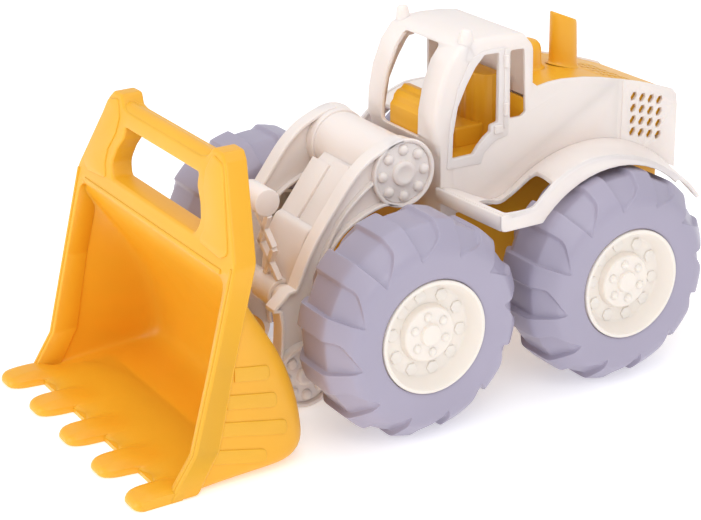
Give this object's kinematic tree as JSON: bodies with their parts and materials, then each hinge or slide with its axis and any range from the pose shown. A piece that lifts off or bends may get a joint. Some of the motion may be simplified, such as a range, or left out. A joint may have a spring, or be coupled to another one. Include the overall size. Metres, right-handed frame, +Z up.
{
  "type": "toy front loader",
  "caption": "Chunky plastic toy wheel loader with open cab, lifting boom, tilting bucket with a grip handle, finger teeth, flared rear fenders and fat lugged tyres.",
  "frame": {"origin": "on the ground, under the middle of the overall length and width", "axes": "+X forward towards the bucket, +Y to the loader's left, +Z up"},
  "size_m": [0.474, 0.268, 0.243],
  "materials": {
    "tyre": "matt lavender grey moulded plastic",
    "rim": "satin pale cream moulded plastic",
    "cream": "satin cream moulded plastic",
    "yellow": "satin mustard yellow moulded plastic",
    "steel": "plain wire, hidden"
  },
  "bodies": {
    "root": {"chassis_frame": "yellow", "body_shell": "cream", "engine_hood": "yellow", "exhaust_stack": "yellow", "air_cleaner": "yellow", "cab_interior": "yellow", "seat": "yellow", "body_screws": "steel", "boom_pivot_rod": "steel", "front_axle": "steel", "rear_axle": "steel", "front_push_nuts": "steel", "rear_push_nuts": "steel"},
    "boom": {"boom": "cream", "tilt_link": "cream", "bucket_pivot_rod": "steel", "boom_pivot_cap_left": "cream", "boom_pivot_cap_right": "cream", "bucket_pivot_cap_left": "cream", "bucket_pivot_cap_right": "cream"},
    "bucket": {"bucket": "yellow"},
    "wheel_front_left": {"tyre_front_left": "tyre", "rim_front_left": "rim", "hub_cap_front_left": "rim"},
    "wheel_front_right": {"tyre_front_right": "tyre", "rim_front_right": "rim", "hub_cap_front_right": "rim"},
    "wheel_rear_left": {"tyre_rear_left": "tyre", "rim_rear_left": "rim", "hub_cap_rear_left": "rim"},
    "wheel_rear_right": {"tyre_rear_right": "tyre", "rim_rear_right": "rim", "hub_cap_rear_right": "rim"}
  },
  "joints": [
    {"name": "wheel_front_left_spin", "type": "hinge", "parent": "root", "child": "wheel_front_left", "pos_m": [0.032, 0.1015, 0.075], "axis": [0, 1, 0], "continuous": true},
    {"name": "wheel_front_right_spin", "type": "hinge", "parent": "root", "child": "wheel_front_right", "pos_m": [0.032, -0.1015, 0.075], "axis": [0, 1, 0], "continuous": true},
    {"name": "wheel_rear_left_spin", "type": "hinge", "parent": "root", "child": "wheel_rear_left", "pos_m": [-0.127, 0.1015, 0.075], "axis": [0, 1, 0], "continuous": true},
    {"name": "wheel_rear_right_spin", "type": "hinge", "parent": "root", "child": "wheel_rear_right", "pos_m": [-0.127, -0.1015, 0.075], "axis": [0, 1, 0], "continuous": true},
    {"name": "boom_lift", "type": "hinge", "parent": "root", "child": "boom", "pos_m": [0.001, 0, 0.155], "axis": [0, -1, 0], "range_deg": [0, 55]},
    {"name": "bucket_tilt", "type": "hinge", "parent": "boom", "child": "bucket", "pos_m": [0.08, 0, 0.028], "axis": [0, 1, 0], "range_deg": [-10, 60]}
  ]
}
